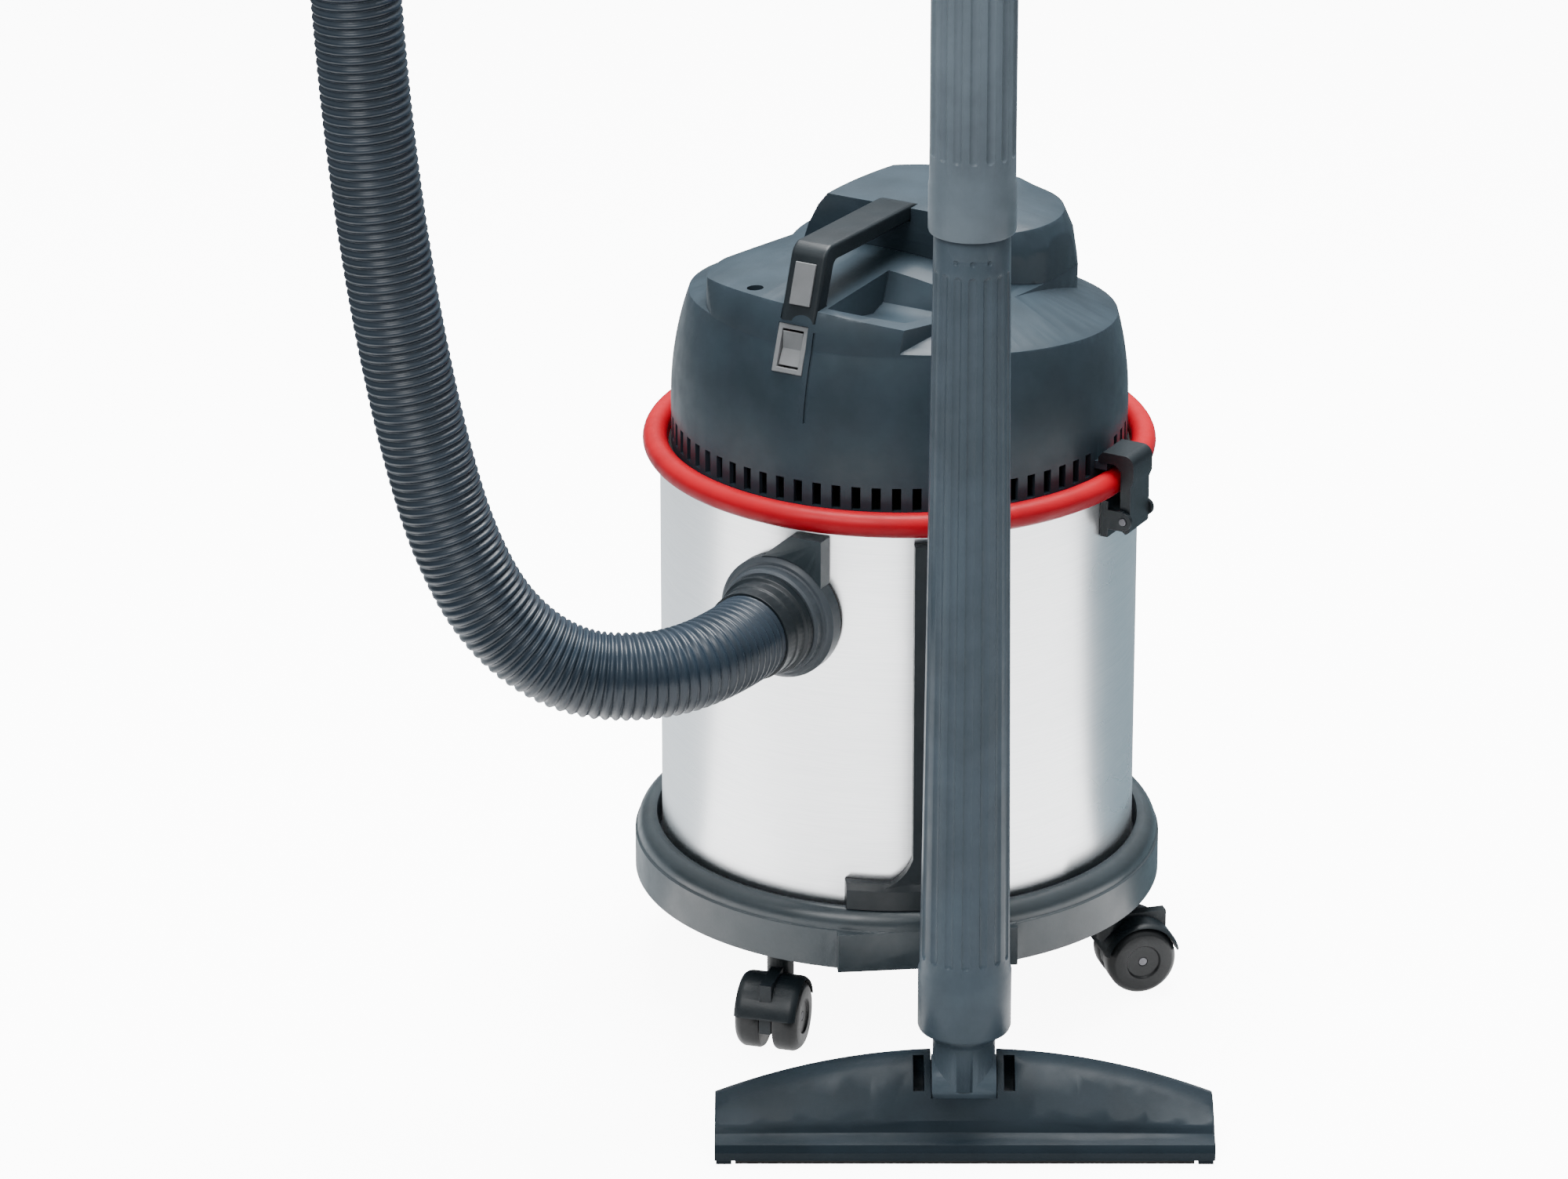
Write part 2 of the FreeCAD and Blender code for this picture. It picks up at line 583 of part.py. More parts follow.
SWITCH_TILT = 20
switch_base = head.multVec(Vector(-6, -138.5, 485))
switch_place = outward(HEAD, 0, SWITCH_TILT, switch_base)


def switch_block(name, wide, tall, low, high):
    return box(name, wide, tall, high - low, Vector(-wide / 2, -tall / 2, low), switch_place)


gland_place = outward(HEAD + 180, 440)
gland_hole = through("gland_hole", gland_place, 9, "120", "170")
seam = cut("front_seam", box("seam_sheet", 1.6, 40, 58, Vector(9, -160, 440), head),
           head_solid("seam_floor", "1.2"))
finger_hole = cylinder("finger_hole", 5.5, 30, head.multiply(Placement(Vector(-48, -111, 505), Rotation())))
dome_shell = cut("dome_shell", head_outside, head_inside)
dome_full = fuse("dome_full", dome_shell, bosses_inside, switch_block("switch_pad", 27, 37, -13, -1.5))
node("dome_cover", cut("dome_cover", dome_full, group("vent_slots", slots),
                       switch_block("switch_window", 22.2, 32.2, -20, 8),
                       gland_hole, handle_clear, seam, finger_hole))


def cap_section(height, front, left, right, back_left, back, back_right):
    """Level outline of the motor cap: a straight front wall and three arcs."""
    place = {key: Vector(x, y, height) for key, (x, y) in {
        "front_left": (left[0], front), "left": left[1], "back_left": back_left, "back": back,
        "back_right": back_right, "right": right[1], "front_right": (right[0], front)}.items()}
    return Part.Wire([
        Part.LineSegment(place["front_left"], place["front_right"]).toShape(),
        Part.Arc(place["front_right"], place["right"], place["back_right"]).toShape(),
        Part.Arc(place["back_right"], place["back"], place["back_left"]).toShape(),
        Part.Arc(place["back_left"], place["left"], place["front_left"]).toShape()])


cap_sections = [
    cap_section(488, -2, (-78, (-80, 50)), (80, (100, 57)), (-50, 100), (10, 124), (66, 108)),
    cap_section(520, -4, (-67, (-70, 40)), (72, (97, 57)), (-46, 88), (8, 114), (60, 100)),
    cap_section(534, -4, (-60, (-62, 36)), (66, (91, 56)), (-42, 80), (6, 106), (52, 98)),
    cap_section(543, -4, (-53, (-51, 24)), (50, (58, 46)), (-42, 68), (0, 87), (44, 86))]
cap_loft = computed("cap_loft", Part.makeLoft(cap_sections, True, True), head)
cap_hollow = cylinder("cap_hollow", 38, 26, head.multiply(Placement(Vector(10, 50, 500), Rotation())))
node("motor_cap", cut("motor_cap", cap_loft, crown("cap_seat", "0"), side_decks("cap_beside", 0),
                      cap_hollow, handle_clear))

node("switch_bezel", cut("switch_bezel", switch_block("bezel_outer", 22, 32, -9, 1.5),
                         switch_block("bezel_window", 15.4, 25.2, -10, 3)))
rocker_pivot = switch_place.multiply(Placement(Vector(0, 0, -2.5), Rotation()))
node("switch_rocker", slab("switch_rocker", [
    (-11.2, -3.5), (-11.2, 2.6), (0, 0.8), (11.2, 4.0), (11.2, -3.5)], 14.8,
    rocker_pivot))

node("cord_gland", turned("cord_gland", [
    (4.2, 144), (9, 144), (9, 153.5), (13, 153.5), (13, 157), (8, 160), (7, 168), (4.2, 168)], gland_place))


# ---------------------------------------------------------------- pan, motor and fan

node("motor_pan", cut("motor_pan", turned("pan_disc", [
    (34, "dim.skirt_bottom"), ("dim.skirt_radius - dim.head_wall - 0.3", "dim.skirt_bottom"),
    ("dim.skirt_radius - dim.head_wall - 0.3", "dim.skirt_bottom + 4"), (34, "dim.skirt_bottom + 4")], head),
    group("pan_screw_holes", [through("pan_screw_hole_%d" % i, Placement(p, Rotation()), 2, "370", "390")
                              for i, p in enumerate(head_screw_places)])))
node("head_screws", group("head_screws", [
    fuse("head_screw_%d" % i,
         through("head_shank_%d" % i, Placement(p, Rotation()), 2, "dim.skirt_bottom", "394"),
         through("head_screw_head_%d" % i, Placement(p, Rotation()), 4, "dim.skirt_bottom - 2.5",
                 "dim.skirt_bottom"))
    for i, p in enumerate(head_screw_places)]))

node("fan_housing", turned("fan_housing", [
    (66, 381.5), (70, 381.5), (70, 384), (66, 384), (66, 412), (11, 412), (11, 409.5), (64, 409.5),
    (64, 381.5)]))
node("motor_case", turned("motor_case", [
    (49, 412), (55, 412), (55, 414.5), (51.5, 414.5), (51.5, 468), (10, 468), (10, 465.5), (49, 465.5)]))
node("motor_stator", turned("motor_stator", [(35, 418), (49, 418), (49, 450), (35, 450)]))
node("bearings", group("bearings", [
    turned("bearing_low", [(4.03, 405.5), (11, 405.5), (11, 412.5), (4.03, 412.5)]),
    turned("bearing_high", [(4.03, 462), (10, 462), (10, 469), (4.03, 469)])]))
node("motor_shaft", cylinder("motor_shaft", 4, 94, Placement(Vector(0, 0, 384), Rotation())))
node("armature", turned("armature", [
    (4, 419), (34, 419), (34, 449), (14, 449), (14, 459), (4, 459)]))
impeller_discs = [turned("impeller_back", [(4, 402), (60, 402), (60, 403.5), (4, 403.5)]),
                  turned("impeller_front", [(24, 386), (60, 386), (60, 387.5), (24, 387.5)]),
                  turned("impeller_hub", [(4, 386), (9, 386), (9, 403.5), (4, 403.5)])]
impeller_vanes = [box("impeller_vane_%d" % i, 1.6, 38, 15.5, Vector(-0.8, -59, 387),
                      Placement(Vector(0, 0, 0), Rotation(Vector(0, 0, 1), i * 360 / 7)).multiply(
                          Placement(Vector(9, 0, 0), Rotation())))
                  for i in range(7)]
node("impeller", fuse("impeller", *impeller_discs, *impeller_vanes))
fan_blades = [box("cooling_blade_%d" % i, 1.5, 30, 5, Vector(-0.75, -38, 471),
                  Placement(Vector(0, 0, 0), Rotation(Vector(0, 0, 1), i * 360 / 9))) for i in range(9)]
cooling_disc = turned("cooling_disc", [(4, 469.8), (38, 469.8), (38, 471.3), (4, 471.3)])
cooling_hub = turned("cooling_hub", [(4, 469.8), (9, 469.8), (9, 476), (4, 476)])
node("cooling_fan", fuse("cooling_fan", cooling_disc, cooling_hub, *fan_blades))


# ---------------------------------------------------------------- float valve and filter

cage_raw = turned("cage_raw", [
    (22, 370), (22, 377.5), (46, 377.5), (46, 374), (36, 372), (36, 296), (7, 296), (7, 262),
    (0, 262), (0, 299), (33, 299), (33, 366)])
cage_windows = [box("cage_window_%d" % i, 14, 30, 54, Vector(-7, -50, 306),
                    Placement(Vector(0, 0, 0), Rotation(Vector(0, 0, 1), i * 60))) for i in range(6)]
node("float_cage", cut("float_cage", cage_raw, group("cage_windows", cage_windows)))
node("float", turned("float", [
    (0, 299.3), (22, 299.3, 8), (30, 307.3), (30, 326, 8), (22, 334), (0, 334)]))

pleats = 60
pleat_points = []
for step in range(2 * pleats):
    bend_radius = 66 if step % 2 == 0 else 52
    pleat_points.append(around(step * 180 / pleats, bend_radius))
pleat_wire = Part.makePolygon(pleat_points + [pleat_points[0]])
paper = Part.Face(pleat_wire).extrude(Vector(0, 0, 102.5))
paper = paper.cut(Part.makeCylinder(50, 102.5))
filter_shape = Part.Solid(paper.Solids[0])
filter_shape.translate(Vector(0, 0, 270))
rim = Part.makeCylinder(68, 5, Vector(0, 0, 372.5)).cut(Part.makeCylinder(47, 5, Vector(0, 0, 372.5)))
end_plate = Part.makeCylinder(68, 5, Vector(0, 0, 265)).cut(Part.makeCylinder(7.2, 5, Vector(0, 0, 265)))
node("filter_cartridge", computed("filter_cartridge", filter_shape.fuse([rim, end_plate]).removeSplitter()))
node("filter_knob", turned("filter_knob", [
    (7, 264.8), (20, 264.8), (24, 261), (24, 250), (20, 246), (0, 246), (0, 261.8), (7, 261.8)]))


# ---------------------------------------------------------------- wand

WAND = Vector(value("dim.wand_x"), value("dim.wand_y"), 0)
wand = Placement(WAND, Rotation())


def flutes(name, count, low, high, radius_low, radius_high):
    """Shallow lengthwise grooves, as rods that follow the tube's taper."""
    rods = []
    rod = 4
    sunk = 2.6
    for i in range(count):
        start = around(i * 360 / count, radius_low + sunk, low)
        stop = around(i * 360 / count, radius_high + sunk, high)
        rods.append(Part.makeCylinder(rod, (stop - start).Length, start, stop - start))
        rods.append(Part.makeSphere(rod, start))
        rods.append(Part.makeSphere(rod, stop))
    return computed(name, Part.Compound(rods), wand)


lower_raw = turned("lower_tube_raw", [
    (27, "dim.socket_low"), (29.6, "dim.socket_low"), (30.4, 77), (30.4, 116), (29.3, 119),
    (24.2, "dim.tube_joint - 1"), (24, "dim.tube_joint"), (23.9, "dim.tube_joint + 40"),
    (21.9, "dim.tube_joint + 40"), (22, "dim.tube_joint"),
    (27, 119), (27, 110)], wand)
dimples = computed("tube_dimples", Part.Compound([
    Part.makeSphere(2.2, around(azimuth, 25.4, value("dim.tube_joint") - 14.5))
    for azimuth in (-26, 0, 26)]), wand)
node("lower_tube", cut("lower_tube", lower_raw, dimples, flutes("lower_flutes", 16, 130, 596, 29.1, 24.5)))
upper_raw = turned("upper_tube_raw", [
    (24.05, "dim.tube_joint + 0.3"), (27.2, "dim.tube_joint + 0.3"), (27.7, "dim.tube_joint + 2"),
    (27.7, 653), (27.1, 655.5), (27.1, "dim.hand_joint - 3"), (25.6, "dim.hand_joint"),
    (24, "dim.hand_joint"),
    (23.9, "dim.hand_joint + 38"), (21.9, "dim.hand_joint + 38"), (22, 680), (24.05, 662)], wand)
node("upper_tube", cut("upper_tube", upper_raw, flutes("upper_flutes", 16, 676, 1150, 27.1, 27.1)))

HAND_BEND = math.radians(30)
bend_start = WAND + Vector(0, 0, 1240)
bend_radius = 100
lean = Vector(-math.sin(HAND_BEND), 0, math.cos(HAND_BEND))


def hand_bend(angle):
    return bend_start + Vector(-bend_radius * (1 - math.cos(angle)), 0, bend_radius * math.sin(angle))


hand_end = hand_bend(HAND_BEND) + lean * 70
hand_low = WAND + Vector(0, 0, value("dim.hand_joint") + 0.3)
hand_path = Part.Wire([
    Part.LineSegment(hand_low, bend_start).toShape(),
    Part.Arc(bend_start, hand_bend(HAND_BEND / 2), hand_bend(HAND_BEND)).toShape(),
    Part.LineSegment(hand_bend(HAND_BEND), hand_end).toShape()])
hand_shape = pipe(hand_path, 26).cut(pipe(hand_path, 23))
socket_step = Part.makeCylinder(24.05, 38.5, hand_low, Vector(0, 0, 1))
vent = Part.makeCylinder(5, 30, WAND + Vector(0, 0, 1226), Vector(0, -1, 0))
node("hand_tube", computed("hand_tube", hand_shape.cut([socket_step, vent])))
collar = turned("collar_raw", [(26.3, 1216), (29.2, 1216), (29.2, 1236), (26.3, 1236)], wand)
collar_tab = box("collar_tab", 9, 6, 16, WAND + Vector(-4.5, -34, 1218))
collar_hole = cylinder("collar_hole", 5, 14,
                       Placement(WAND + Vector(-20, -14, 1226), Rotation(Vector(1, 0, 0), 90)))
node("regulator_collar", cut("regulator_collar", fuse("collar_body", collar, collar_tab), collar_hole,
                             through("collar_bore", wand, 26.3, "1200", "1250")))

lean_place = Placement(hand_end, Rotation(Vector(0, 0, 1), lean))
node("hose_cuff_wand", turned("hose_cuff_wand", [
    (20, -32), (22.9, -32), (22.9, 0.3), (29, 0.3), (29, 8), (27.5, 9), (30, 22), (30, 45), (20, 45)],
    lean_place))


# ---------------------------------------------------------------- hose

# From the canister cuff forward, in a low bow to the left, up beside the head, over and
# down into the hand tube.
cuff_face = around(HEAD, value("dim.cuff_end"), value("dim.inlet_height"))
hand_face = hand_end + lean * 45
HOSE_ROUTE = [
    cuff_face, Vector(-121, -218.3, 309), Vector(-163, -243, 306), Vector(-215, -247, 311),
    Vector(-259, -247, 345), Vector(-287, -246, 400), Vector(-305, -245, 468), Vector(-319, -245, 543),
    Vector(-330, -245, 622), Vector(-338, -245, 705), Vector(-343, -245, 790),
    Vector(-352.1, -245.6, 869.9), Vector(-361.7, -247.2, 949.8), Vector(-371.7, -249.7, 1029.7),
    Vector(-382.1, -252.8, 1109.5), Vector(-393, -256.3, 1185), Vector(-404.3, -259.7, 1257.9),
    Vector(-417.8, -263.7, 1348.5), Vector(-389.9, -267.2, 1434.5), Vector(-326.5, -270.3, 1499.2),
    Vector(-241.1, -272.8, 1529), Vector(-151.3, -274.4, 1517.6), Vector(-75.9, -275, 1467.5), hand_face]
hose_path, hose_radii = bent_path(HOSE_ROUTE)
hose_outer = pipe(hose_path, value("dim.hose_radius"))
hose_shape = hose_outer.cut(pipe(hose_path, value("dim.hose_bore_radius")))
node("hose", computed("hose", hose_shape))
hose_section = math.pi * (value("dim.hose_radius") ** 2 - value("dim.hose_bore_radius") ** 2)
print("hose length %.1f mm" % hose_path.Length)
print("hose volume over section times length %.4f" % (hose_shape.Volume / (hose_section * hose_path.Length)))
print("hose bend radii", [round(r) for r in hose_radii])


# ---------------------------------------------------------------- nozzle

pivot_line = Placement(WAND + Vector(0, 0, value("dim.pivot_height")), Rotation(Vector(0, 1, 0), 90))
neck_tube = turned("neck_tube", [
    (20.4, 36), (20.4, 66), (23, 71), (23, "dim.socket_low - 0.3"), (26.95, "dim.socket_low - 0.3"),
    (26.95, 104), (23.5, 104), (17, 60), (17, 36)], wand)
neck_barrel = through("neck_barrel", pivot_line, 20, "-21", "21")
neck_bore = through("neck_bore", wand, 15, "0", "58")
neck_raw = fuse("neck_raw", neck_tube, neck_barrel)
node("nozzle_neck", cut("nozzle_neck", neck_raw, neck_bore,
                        through("neck_pin_hole", pivot_line, "dim.pin_radius + 0.05", "-30", "30")))


def nozzle_section(along):
    """Closed (y, z) outline of the nozzle body at a distance from its middle."""
    arch = 1 - (abs(along) / value("dim.nozzle_half")) ** 2.1
    front = value("dim.nozzle_front")
    back = -270 + 17 * arch
    crest = 29 + 23 * arch
    outline = [(front + 1, 3), (front, 9), (front + 2, 14), (front + 14, 16 + arch),
               (front + 17, 20 + 4 * arch), (back - 26, crest - 2.5), (back - 13, crest),
               (back - 4, crest - 2), (back, crest - 8), (back, 3)]
    place = [Vector(WAND.x + along, y, z) for y, z in outline]
    return Part.makePolygon(place + [place[0]])


half = value("dim.nozzle_half")
stations = [-half, -half * 0.8, -half * 0.55, -half * 0.3, 0, half * 0.3, half * 0.55, half * 0.8, half]
nozzle_loft = Part.makeLoft([nozzle_section(x) for x in stations], True, False)
front = value("dim.nozzle_front")
cheeks = [Part.makeBox(10, 46, 8, Vector(WAND.x + x, front + 2, 0)) for x in (-half + 1, half - 11)]
chamber = Part.makeBox(2 * half - 26, 36, 12, Vector(WAND.x - half + 13, front + 9, 2))
well = Part.makeBox(42.8, 60, 60, Vector(WAND.x - 21.4, WAND.y - 24, 11.5))
duct = Part.makeBox(42.8, 24, 10, Vector(WAND.x - 21.4, WAND.y - 24, 5))
pin_hole = Part.makeCylinder(value("dim.pin_radius"), 51, WAND + Vector(-25.5, 0, value("dim.pivot_height")),
                             Vector(1, 0, 0))
pockets = [Part.makeCylinder(15, 7, Vector(WAND.x + x, WAND.y - 5, 40), Vector(1, 0, 0)) for x in (-33, 26)]
strips = [Part.makeBox(2 * half - 26.6, 3.2, 11, Vector(WAND.x - half + 13.3, y, 0))
          for y in (front + 2.6, front + 47)]
nozzle_shape = nozzle_loft.fuse(cheeks).cut([chamber, well, duct, pin_hole] + pockets + strips)
node("nozzle_body", computed("nozzle_body", nozzle_shape))
sole_outline = Part.makeBox(2 * half - 26, 36, 3.5, Vector(WAND.x - half + 13, front + 9, 2.2))
sole_slot = Part.makeBox(2 * half - 50, 12, 8, Vector(WAND.x - half + 25, front + 16, 0))
node("sole_plate", computed("sole_plate", sole_outline.cut(sole_slot)))
node("squeegee_strips", computed("squeegee_strips", Part.Compound(strips)))
node("nozzle_pivot_pin", through("nozzle_pivot_pin", pivot_line, "dim.pin_radius", "-25.5", "25.5"))


# ---------------------------------------------------------------- checks and export

doc.recompute()
for obj in doc.Objects:
    if "Invalid" in obj.State or "Error" in obj.State:
        raise SystemExit("failed object: %s %s" % (obj.Name, obj.State))
for label, obj in nodes.items():
    shape = obj.Shape
    if shape.isNull() or not shape.isValid() or not shape.Solids:
        raise SystemExit("bad shape: " + label)
for label, obj in nodes.items():
    obj.Shape.exportStep("parts/%s.step" % label)
print("nodes written:", len(nodes))
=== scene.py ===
import json
import math

import bmesh
import bpy
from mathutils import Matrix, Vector


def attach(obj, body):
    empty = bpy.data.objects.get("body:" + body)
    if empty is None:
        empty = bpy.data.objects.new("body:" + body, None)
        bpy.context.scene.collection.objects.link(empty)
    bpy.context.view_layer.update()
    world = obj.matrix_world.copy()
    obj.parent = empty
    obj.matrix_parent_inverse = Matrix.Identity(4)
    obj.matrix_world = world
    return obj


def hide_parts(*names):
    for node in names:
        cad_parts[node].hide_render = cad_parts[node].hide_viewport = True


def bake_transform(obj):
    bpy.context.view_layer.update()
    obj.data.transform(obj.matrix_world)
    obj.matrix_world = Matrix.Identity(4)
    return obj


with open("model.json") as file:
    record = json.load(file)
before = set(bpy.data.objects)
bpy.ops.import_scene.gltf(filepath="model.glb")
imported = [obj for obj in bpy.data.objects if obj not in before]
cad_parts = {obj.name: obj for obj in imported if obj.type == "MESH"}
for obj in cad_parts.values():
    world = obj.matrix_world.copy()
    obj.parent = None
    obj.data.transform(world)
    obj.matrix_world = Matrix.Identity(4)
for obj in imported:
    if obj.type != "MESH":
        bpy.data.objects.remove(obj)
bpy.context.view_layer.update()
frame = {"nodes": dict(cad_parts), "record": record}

# Looks for a shop vacuum: steel container on a caster trolley, motor head, hose, wand and nozzle.
# Metres, +Z up, the wand on the -Y side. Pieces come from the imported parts, except the hose, which
# is swept along its own route.


# ---------------------------------------------------------------- camera

CAMERA_PLACE = (-0.077, -4.626, 2.1653)
CAMERA_PITCH = math.radians(67.7)
LENS_MM = 170.3
SENSOR_MM = 36


def place_camera():
    data = bpy.data.cameras.new("camera")
    data.sensor_width = SENSOR_MM
    data.lens = LENS_MM
    camera = bpy.data.objects.new("camera", data)
    camera.location = CAMERA_PLACE
    camera.rotation_euler = (CAMERA_PITCH, 0, 0)
    bpy.context.scene.collection.objects.link(camera)
    bpy.context.scene.camera = camera


place_camera()


# ---------------------------------------------------------------- materials

class Tree:
    """A material under construction: its nodes, its links and its Principled shader."""

    def __init__(self, name):
        self.material = bpy.data.materials.new(name)
        self.material.use_nodes = True
        self.nodes = self.material.node_tree.nodes
        self.links = self.material.node_tree.links
        self.shader = self.nodes["Principled BSDF"]
        self.place = self.nodes.new("ShaderNodeTexCoord").outputs["Object"]

    def scaled(self, scale):
        node = self.nodes.new("ShaderNodeMapping")
        node.inputs["Scale"].default_value = scale
        self.links.new(self.place, node.inputs["Vector"])
        return node.outputs["Vector"]

    def noise(self, scale, detail=3.0, where=None):
        node = self.nodes.new("ShaderNodeTexNoise")
        node.inputs["Scale"].default_value = scale
        node.inputs["Detail"].default_value = detail
        self.links.new(where or self.place, node.inputs["Vector"])
        return node.outputs["Fac"]

    def ramp(self, factor, low, high, start=0.35, stop=0.65):
        """Maps a factor from start..stop to low..high."""
        node = self.nodes.new("ShaderNodeMapRange")
        for socket, value in zip(("From Min", "From Max", "To Min", "To Max"), (start, stop, low, high)):
            node.inputs[socket].default_value = value
        self.links.new(factor, node.inputs["Value"])
        return node.outputs["Result"]

    def blend(self, factor, first, second):
        """Colour between two colours; either may be a socket."""
        node = self.nodes.new("ShaderNodeMix")
        node.data_type = "RGBA"
        self.links.new(factor, node.inputs[0])
        for index, colour in ((6, first), (7, second)):
            if isinstance(colour, tuple):
                node.inputs[index].default_value = (*colour, 1)
            else:
                self.links.new(colour, node.inputs[index])
        return node.outputs[2]

    def bump(self, height, distance, strength=1.0, under=None):
        node = self.nodes.new("ShaderNodeBump")
        node.inputs["Distance"].default_value = distance
        node.inputs["Strength"].default_value = strength
        self.links.new(height, node.inputs["Height"])
        if under:
            self.links.new(under, node.inputs["Normal"])
        return node.outputs["Normal"]

    def use(self, **sockets):
        """Sets or links the shader's sockets; underscores stand for spaces."""
        for name, value in sockets.items():
            socket = self.shader.inputs[name.replace("_", " ")]
            if isinstance(value, bpy.types.NodeSocket):
                self.links.new(value, socket)
            elif isinstance(value, tuple):
                socket.default_value = (*value, 1)
            else:
                socket.default_value = value
        return self.material


def tinted(colour, factor):
    return tuple(min(c * factor, 1.0) for c in colour)


def moulded(name, colour, rough, grain=900, depth=0.00012, sheen=0.3):
    """Injection-moulded plastic: faint cloudiness, uneven gloss and a fine grain."""
    tree = Tree(name)
    cloud = tree.noise(26, 4)
    gloss = tree.noise(60, 5)
    return tree.use(
        Base_Color=tree.blend(tree.ramp(cloud, 0, 1), tinted(colour, 0.86), tinted(colour, 1.14)),
        Roughness=tree.ramp(gloss, rough - 0.04, rough + 0.05),
        Specular_IOR_Level=sheen,
        Normal=tree.bump(tree.noise(grain, 2), depth, 0.35))


def brushed_steel(name):
    """Satin steel sheet: fine marks that run round the drum, and soft smears."""
    tree = Tree(name)
    lines = tree.noise(30, 6, tree.scaled((1, 1, 60)))
    smears = tree.noise(9, 3)
    return tree.use(
        Base_Color=tree.blend(tree.ramp(lines, 0, 1), (0.80, 0.81, 0.82), (0.88, 0.885, 0.89)),
        Metallic=1.0,
        Roughness=tree.ramp(smears, 0.27, 0.32),
        Normal=tree.bump(lines, 0.00002, 0.12))


def plated(name, colour, rough):
    tree = Tree(name)
    return tree.use(
        Base_Color=tree.blend(tree.noise(120, 3), tinted(colour, 0.9), tinted(colour, 1.08)),
        Metallic=1.0,
        Roughness=tree.ramp(tree.noise(300, 3), rough - 0.05, rough + 0.06),
        Normal=tree.bump(tree.noise(700, 2), 0.00003, 0.3))


def glossy(name, colour, rough):
    """Soft PVC bumper: glossy, with faint scuffs and dust."""
    tree = Tree(name)
    dust = tree.noise(45, 6)
    return tree.use(
        Base_Color=tree.blend(tree.ramp(dust, 0, 1, 0.45, 0.8), colour, tinted(colour, 0.82)),
        Roughness=tree.ramp(tree.noise(90, 4), rough - 0.05, rough + 0.08),
        Specular_IOR_Level=0.2,
        Normal=tree.bump(tree.noise(240, 3), 0.00008, 0.3))


def paper(name):
    tree = Tree(name)
    fibre = tree.noise(900, 6)
    return tree.use(
        Base_Color=tree.blend(fibre, (0.66, 0.62, 0.50), (0.82, 0.79, 0.68)),
        Roughness=0.9,
        Normal=tree.bump(fibre, 0.0002, 0.6))


def windings(name):
    """Enamelled wire wound round the armature."""
    tree = Tree(name)
    turns = tree.nodes.new("ShaderNodeTexWave")
    turns.bands_direction = "Z"
    turns.inputs["Scale"].default_value = 320
    turns.inputs["Distortion"].default_value = 1.5
    tree.links.new(tree.place, turns.inputs["Vector"])
    return tree.use(
        Base_Color=tree.blend(turns.outputs["Fac"], (0.30, 0.13, 0.05), (0.66, 0.33, 0.15)),
        Metallic=0.8,
        Roughness=0.38,
        Normal=tree.bump(turns.outputs["Fac"], 0.0003, 0.6))


MATERIALS = {
    "base_plastic": moulded("base_plastic", (0.027, 0.038, 0.045), 0.34, 900, 0.00012, 0.5),
    "black_plastic": moulded("black_plastic", (0.006, 0.010, 0.013), 0.42),
    "caster_plastic": moulded("caster_plastic", (0.012, 0.013, 0.014), 0.33, 500),
    "head_plastic": moulded("head_plastic", (0.023, 0.036, 0.047), 0.40, 1400, 0.00008, 0.25),
    "grey_plastic": moulded("grey_plastic", (0.050, 0.060, 0.070), 0.40),
    "light_grey_plastic": moulded("light_grey_plastic", (0.17, 0.175, 0.18), 0.42),
    "nozzle_plastic": moulded("nozzle_plastic", (0.010, 0.017, 0.023), 0.42, 1100, 0.00008, 0.1),
    "tube_plastic": moulded("tube_plastic", (0.125, 0.155, 0.180), 0.36, 1100, 0.00008, 0.2),
    # lower_tube: the tube plastic made darker, a painted shade for the lower part of the wand; the nozzle
    # neck wears it too.
    "lower_tube": moulded("lower_tube", (0.062, 0.085, 0.105), 0.36, 1100, 0.00008, 0.15),
    "hose_plastic": moulded("hose_plastic", (0.016, 0.026, 0.038), 0.32, 500, 0.00015),
    "red_plastic": glossy("red_plastic", (0.44, 0.0, 0.010), 0.40),
    "steel": brushed_steel("steel"),
    "fastener": plated("fastener", (0.62, 0.62, 0.62), 0.28),
    "aluminium": plated("aluminium", (0.78, 0.79, 0.80), 0.34),
    "iron": plated("iron", (0.13, 0.13, 0.14), 0.5),
    "rubber": moulded("rubber", (0.012, 0.012, 0.012), 0.72, 600, 0.0002),
    "copper": windings("copper"),
    "paper": paper("paper"),
}

# Pieces whose look differs from that of their slot (the lower tube and the nozzle neck take lower_tube, the
# tube plastic darkened as painted shade), and edges that are softer than the rest.
LOOKS = {"lower_tube": "lower_tube", "nozzle_neck": "lower_tube", "latch_pins": "iron",
         "caster_axle_1": "iron", "caster_axle_2": "iron", "caster_axle_3": "iron", "caster_axle_4": "iron"}
SOFT_EDGES = {"dome_cover": 0.0013, "motor_cap": 0.0013, "nozzle_body": 0.0010, "trolley_base": 0.0008}
EDGE_WIDTH = 0.0005
SHARP_ANGLE = math.radians(35)
FLAT_ANGLE = math.radians(0.3)
WELD_DISTANCE = 2e-6
SLOT_OF = {part["node"]: part["material_slot"] for part in frame["record"]["subparts"]}
BODY_OF = {node: body
           for body, members in frame["record"]["behaviour"]["bodies"].items()
           for node in members}


# ---------------------------------------------------------------- shared builders

def link(obj):
    bpy.context.scene.collection.objects.link(obj)
    return obj


def finished(obj, node):
    """Gives a piece the material of a CAD node's slot or look and the node's body, and stands it in the
    node's place.
    """
    obj.data.materials.clear()
    obj.data.materials.append(MATERIALS[LOOKS.get(node, SLOT_OF[node])])
    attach(obj, BODY_OF[node])
    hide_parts(node)


